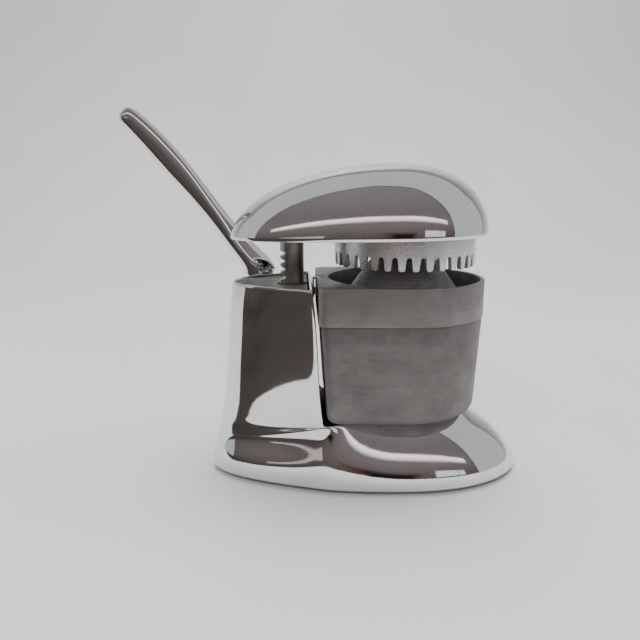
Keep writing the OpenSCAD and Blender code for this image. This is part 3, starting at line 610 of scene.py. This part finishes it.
def make_lever():
    px, pz = pivot_place()
    line = [(-104, 133.5), (-138, 183), (-165, 216), (-184.8, 233.9)]
    steps = 18
    # The hanger beside the column, then the sole's lower and upper edge
    rings = [arm_ring(px, 40.4, pz - 4, 0, 9.5, 5.4), arm_ring(-94.4, 40.4, 113, 4, 9.6, 5.4),
             arm_ring(-95.6, 41.4, 120, 10, 9.2, 5.2), arm_ring(-95.4, 44.6, 125.2, 12, 9.6, 5.6, power=1.2),
             arm_ring(-95.7, 45.4, 127, 12, 11.4, 6.3, power=1.35),
             arm_ring(-95.75, 45.45, 127.3, 12, 11.5, 6.35, power=1.35),
             arm_ring(-95.8, 45.5, 127.6, 12.5, 11.5, 6.4, power=1.35)]
    for i in range(steps + 1):
        t = i / steps
        x, z = bezier(line, t)
        x2, z2 = bezier(line, min(1, t + 0.02))
        x1, z1 = bezier(line, min(0.98, t))
        heading = math.degrees(math.atan2(z2 - z1, x2 - x1))
        swing = min(1, t / 0.2)
        y = SOLE_Y + (TIP_Y - SOLE_Y) * swing * (2 - swing)
        # Near the sole the arm shifts towards the column, turns and widens
        lean = max(0, 1 - t / 0.2)
        rings.append(arm_ring(x + 6 * lean ** 2, y, z, heading - 90 - 17 * lean, arm_width(t) + 0.8 * lean, ARM_HALF_T,
                              power=0.85 + 0.5 * max(0, 1 - t / 0.5)))
    tip, heading = bezier(line, 1), math.radians(137.5)
    for reach, half_w, share in ((2.6, 6.4, 0.93), (4.6, 5, 0.78), (6, 3, 0.5)):
        rings.append(arm_ring(tip[0] + reach * math.cos(heading), TIP_Y, tip[1] + reach * math.sin(heading),
                              math.degrees(heading) - 90, half_w, ARM_HALF_T * share))
    bm = bmesh.new()
    add_loft(bm, rings, caps=(0, -1))
    arm = add_mesh("lever_arm_casting", bm, 180)
    subdivide(arm, 2)
    dress(arm, CHROME, LEVER, "chrome", "lever")
    low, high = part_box("lever_key")
    hub = [(HUB_R - HUB_CHAMFER, HUB_NEAR), (HUB_R, HUB_NEAR + HUB_CHAMFER), (HUB_R, HUB_FAR - HUB_CHAMFER),
           (HUB_R - HUB_CHAMFER, HUB_FAR), (AXLE_R, HUB_FAR), (AXLE_R, HUB_NEAR)]
    collar = loft("lever_hub", [y_ring(r, y, (px, pz)) for r, y in hub], along=True)
    dress(collar, CHROME, LEVER, "chrome")


# ---- Head and crown ----

HEAD_Z, HEAD_RISE, HEAD_WALL = 155, 46.3, 2.6
HEAD_FRONT, HEAD_REAR, PEAK_X, HEAD_HALF_W = 52.9, -110.8, -8, 49.3


def head_ring(u, inset, drop=0.0):
    """The head's plan at a share of its rise. drop moves the ring down in millimetres."""
    front_k = max(0, 1 - u * u) ** (1 / 2.5)
    rear_k = max(0, 1 - u ** 1.8) ** 0.5
    w = HEAD_HALF_W * max(0, 1 - u * u) ** (1 / 2.3) - inset
    rear = PEAK_X + (HEAD_REAR - PEAK_X) * rear_k + inset
    front = PEAK_X + (HEAD_FRONT - PEAK_X) * front_k - inset
    z = HEAD_Z + u * (HEAD_RISE - inset) - drop
    mid = PEAK_X + 4
    back = [(rear, 0), (rear, 0.81 * w), (mid + 0.32 * (rear - mid), w), (mid, w)]
    steps, nose = 24, 20
    half = [(*bezier(back, i / steps), z) for i in range(steps + 1)]
    for i in range(1, nose + 1):
        a = math.pi / 2 * (1 - i / nose)
        half.append((mid + (front - mid) * math.cos(a), w * math.sin(a), z))
    # The lower edge climbs a little towards the front
    tilt = 2.5 * (1 - u) / (HEAD_FRONT - HEAD_REAR)
    half = [(x, y, h + tilt * (x - HEAD_REAR)) for x, y, h in half]
    return mirrored(half)


def make_head():
    levels = [math.sin(math.pi / 2 * i / 30) for i in range(30)]
    levels.append(0.9998)
    bm = bmesh.new()
    edge = [head_ring(0, 1.9), head_ring(0, 0.9), head_ring(0, 0.25), head_ring(0.006, 0)]
    outer = edge + [head_ring(u, 0) for u in levels[1:]]
    inner = [head_ring(u, HEAD_WALL) for u in levels]
    tops = []
    rows = add_loft(bm, outer)
    tops.append(rows[-1])
    under = add_loft(bm, inner)
    tops.append(under[-1])
    count = len(rows[0])
    for j in range(count):
        k = (j + 1) % count
        bm.faces.new((rows[0][k], rows[0][j], under[0][j], under[0][k]))
    for top in tops:
        middle = bm.verts.new(sum((v.co for v in top), Vector()) / len(top))
        for j in range(count):
            bm.faces.new((top[j], top[(j + 1) % count], middle))
    shell = add_mesh("head_shell", bm, 50)
    dress(shell, CHROME, PRESS, "chrome", "press_head")

    post_low, post_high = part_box("rack_post")
    post_x = ((post_low[0] + post_high[0]) / 2 - AXIS.x) / MM
    for name, x, r, low, high, hole in (
            ("post_socket", post_x, 12, 160, 181.5, 7.65), ("crown_seat", 0, 11, 181.6, 196, 3.05)):
        profile = [(r - 0.6, low), (r, low + 0.6), (r, high), (hole, high), (hole, low)]
        rings = [[(px + x, py, pz) for px, py, pz in circle_ring(rad, z, 64)] for rad, z in profile]
        socket = loft(name, rings, along=True)
        dress(socket, CHROME, PRESS, "chrome")


CROWN_R, TIP_Z, SLOT_Z, FINGERS = 44.8, 138.6, 145, 34
SLOT_R = 1.7


def slot_edge(s):
    """Height of the crown's lower edge at s millimetres round it from a slot's middle."""
    flank = 2.3
    if s < SLOT_R:
        return SLOT_Z + math.sqrt(SLOT_R ** 2 - s * s)
    if s < flank:
        share = (s - SLOT_R) / (flank - SLOT_R)
        return SLOT_Z + (TIP_Z + 0.9 - SLOT_Z) * share
    near = min(1, (s - flank) / 1.3)
    return TIP_Z + 0.9 * (1 - math.sqrt(1 - (1 - near) ** 2)) if near < 1 else TIP_Z


def crown_outer(z):
    stops = [(TIP_Z, 44.3), (141, 44.55), (147, 44.8), (158, 44.8), (161, 44.3), (164, 43.3), (168, 41.2)]
    for (z0, r0), (z1, r1) in zip(stops, stops[1:]):
        if z <= z1:
            return r0 + (r1 - r0) * (z - z0) / (z1 - z0)
    return stops[-1][1]


def make_crown():
    """The crown: 34 tapering fingers with round slots between them, under a rounded shoulder."""
    pitch = math.tau * CROWN_R / FINGERS
    reach = [0, 0.6, 1.1, 1.45, 1.64, 1.71, 1.9, 2.1, 2.26, 2.31, 2.42, 2.6, 2.85, 3.15, 3.5, 3.85]
    offsets = reach + [pitch - s for s in reach[:0:-1]]
    columns = []
    for finger in range(FINGERS):
        for s in offsets:
            near = min(s, pitch - s)
            columns.append(((finger * pitch + s) / CROWN_R, slot_edge(near)))
    heights = [150, 154, 158, 161, 164, 168]

    def ring(row, inset, lift=0.0):
        points = []
        for angle, low in columns:
            z = low + lift + (heights[0] - low) * row / 4 if row < 4 else heights[row - 4]
            r = crown_outer(z) - inset
            points.append((r * math.cos(angle), r * math.sin(angle), z))
        return points

    outer = [ring(0, 0.9), ring(0, 0.35, 0.1), ring(0, 0, 0.45)] + [ring(i, 0) for i in range(1, 4 + len(heights))]
    cap = [(35.8, 173.6), (27.3, 178.4), (14.8, 181.0), (6, 181.4)]

    def flat_ring(r, z):
        return [(r * math.cos(angle), r * math.sin(angle), z) for angle, _ in columns]

    for r, z in cap:
        outer.append(flat_ring(r, z))
    hollow = [(6, 178.55), (14.8, 178.5), (26, 175.7), (33.8, 171.4), (38.5, 166.4), (40.9, 161.5), (41.8, 157)]
    inner = [flat_ring(r, z) for r, z in hollow] + [ring(i, 3) for i in range(4, -1, -1)][:-1]
    inner += [ring(0, 3, 0.45), ring(0, 2.6, 0.1), ring(0, 2.1)]
    crown = loft("press_crown_bowl", outer + inner, along=True, smooth_angle=38)
    dress(crown, BRIGHT, PRESS, "bright_aluminium", "press_crown")


# ---- Carried-over parts ----

def dress_frame_parts():
    looks = {
        "column_cover": PLATE, "upper_guide_bush": BRONZE, "lower_guide_bush": BRONZE, "near_axle_bush": BRONZE,
        "far_axle_bush": BRONZE, "rubber_feet": RUBBER, "lever_washer": PLATED, "lever_screw": PLATED,
        "cover_screws": PLATED, "foot_screws": PLATED, "crown_screw": PLATED,
    }
    for name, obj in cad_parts.items():
        material = looks.get(name, STEEL)
        obj.data.materials.clear()
        obj.data.materials.append(material)


# ---- Stage ----

def make_stage():
    """One pale sheet: the floor, a wide curve and the backdrop."""
    near, back, top, bend = -0.9, 1.5, 2.4, 0.7
    line = [(near, 0), (0, 0), (back - bend, 0)]
    line += [(back - bend + bend * math.sin(a), bend - bend * math.cos(a)) for a in
             (math.pi / 2 * i / 12 for i in range(1, 13))]
    line.append((back, top))
    bm = bmesh.new()
    rows = [[bm.verts.new((x, y, z)) for x in (-3, 3)] for y, z in line]
    for low, high in zip(rows, rows[1:]):
        bm.faces.new((low[0], low[1], high[1], high[0]))
    sheet = add_mesh("sheet", bm, 180)
    sheet.data.materials.append(sheet_material())


def add_light(name, size, size_y, power, location, target, colour=(1, 1, 1)):
    data = bpy.data.lights.new(name, "AREA")
    data.shape = "RECTANGLE"
    data.size = size
    data.size_y = size_y
    data.energy = power
    data.color = colour
    light = bpy.data.objects.new(name, data)
    bpy.context.collection.objects.link(light)
    light.location = location
    light.rotation_euler = (Vector(target) - Vector(location)).to_track_quat("-Z", "Y").to_euler()
    light.visible_glossy = False


def make_world():
    """A pale studio behind and above, and the darker room on the near side that the chrome mirrors."""
    world = bpy.data.worlds.new("studio")
    bpy.context.scene.world = world
    world.use_nodes = True
    nodes, links = world.node_tree.nodes, world.node_tree.links
    background = nodes["Background"]
    where = nodes.new("ShaderNodeTexCoord")
    split = nodes.new("ShaderNodeSeparateXYZ")
    links.new(where.outputs["Generated"], split.inputs["Vector"])

    def math_node(kind, *values):
        node = nodes.new("ShaderNodeMath")
        node.operation = kind
        for socket, value in zip(node.inputs, values):
            if isinstance(value, (int, float)):
                socket.default_value = value
            else:
                links.new(value, socket)
        return node.outputs[0]

    def blend_in(factor, a, b):
        node = nodes.new("ShaderNodeMix")
        node.data_type = "RGBA"
        links.new(factor, node.inputs["Factor"])
        for socket, value in ((node.inputs["A"], a), (node.inputs["B"], b)):
            if isinstance(value, tuple):
                socket.default_value = (*value, 1)
            else:
                links.new(value, socket)
        return node.outputs["Result"]

    x, y, z = split.outputs
    towards = math_node("MULTIPLY", y, -1)
    wobble = nodes.new("ShaderNodeTexNoise")
    wobble.inputs["Scale"].default_value = 3.5
    wobble.inputs["Detail"].default_value = 3
    links.new(where.outputs["Generated"], wobble.inputs["Vector"])
    ripple = math_node("MULTIPLY", math_node("SUBTRACT", wobble.outputs["Fac"], 0.5), 0.25)
    # Dark where the ray runs towards the near side, between the sheet's two edges
    right = math_node("SUBTRACT", math_node("MULTIPLY", towards, 1.9), x)
    left = math_node("ADD", math_node("MULTIPLY", towards, 3.6), x)
    top = math_node("ADD", math_node("ADD", towards, 0.16), math_node("MULTIPLY", ripple, 0.4))
    edge = math_node("MINIMUM", top, math_node("MINIMUM", right, left))
    dark = ramp(nodes, links, edge, [(0.0, 0.0), (0.03, 1.0)])
    rim = ramp(nodes, links, edge, [(0.0, 0.35), (0.10, 1.0)])
    height = math_node("ADD", math_node("MULTIPLY_ADD", z, 0.5, 0.5), math_node("MULTIPLY", ripple, 0.06))
    room = ramp(nodes, links, height, [
        (0.30, (0.16, 0.145, 0.135)), (0.47, (0.09, 0.076, 0.07)), (0.56, (0.15, 0.125, 0.12)),
        (0.66, (0.22, 0.187, 0.185)), (0.82, (0.205, 0.178, 0.178)), (1.0, (0.26, 0.235, 0.24))])
    room = multiply(nodes, links, room, rim)

    def patch(azimuth, half_width, low, high, soft, falls):
        """One inside a box of directions, azimuth towards +X and height as tangents; it may fade downwards."""
        across = math_node("DIVIDE", x, math_node("MAXIMUM", towards, 0.05))
        up = math_node("DIVIDE", z, math_node("MAXIMUM", towards, 0.05))
        mid = (low + high) / 2
        inside_x = math_node("SUBTRACT", half_width, math_node("ABSOLUTE", math_node("SUBTRACT", across, azimuth)))
        inside_z = math_node("SUBTRACT", (high - low) / 2, math_node("ABSOLUTE", math_node("SUBTRACT", up, mid)))
        inside = math_node("MINIMUM", inside_x, inside_z)
        inside = ramp(nodes, links, math_node("DIVIDE", inside, soft), [(0.0, 0.0), (1.0, 1.0)])
        if not falls:
            return inside
        share = math_node("DIVIDE", math_node("SUBTRACT", up, low), high - low)
        return multiply(nodes, links, inside, ramp(nodes, links, share, [(0.0, 0.1), (0.9, 1.0)]))

    for azimuth, half_width, low, high, soft, falls, colour in LAMPS:
        room = blend_in(patch(azimuth, half_width, low, high, soft, falls), room, colour)
    mirrored_room = blend_in(dark, (0.60, 0.62, 0.645), room)
    path = nodes.new("ShaderNodeLightPath")
    seen = blend_in(path.outputs["Is Camera Ray"], mirrored_room, (0.64, 0.64, 0.645))
    links.new(seen, background.inputs["Color"])
    background.inputs["Strength"].default_value = 1


# What the dark room holds: azimuth, half width, lowest, highest and softness as tangents,
# whether it fades downwards, and its colour
LAMPS = [
    (-0.1, 1.5, 0.44, 0.68, 0.07, True, (2.3, 2.3, 2.35)),
    (0.80, 0.34, 0.02, 0.22, 0.02, False, (0.95, 0.98, 1.05)),
    (0.93, 0.02, 0.00, 0.24, 0.02, False, (0.26, 0.24, 0.23)),
    (-0.75, 0.34, 0.04, 0.12, 0.02, False, (0.62, 0.58, 0.56)),
    (0.14, 0.17, -0.15, 0.17, 0.05, False, (0.10, 0.06, 0.05)),
    (0.14, 0.11, -0.12, 0.12, 0.04, False, (0.014, 0.014, 0.018)),
]

make_stand()
make_strainer_ring()
make_cup()
make_cone()
make_lever()
make_head()
make_crown()
dress_frame_parts()
make_stage()
make_world()
add_light("overhead", 1.8, 1.4, 54, (0.2, 0.35, 2.1), (0, 0, 0.1))
add_light("front", 1.2, 0.8, 20, (-0.5, -1.6, 1.6), (0, 0, 0.1))
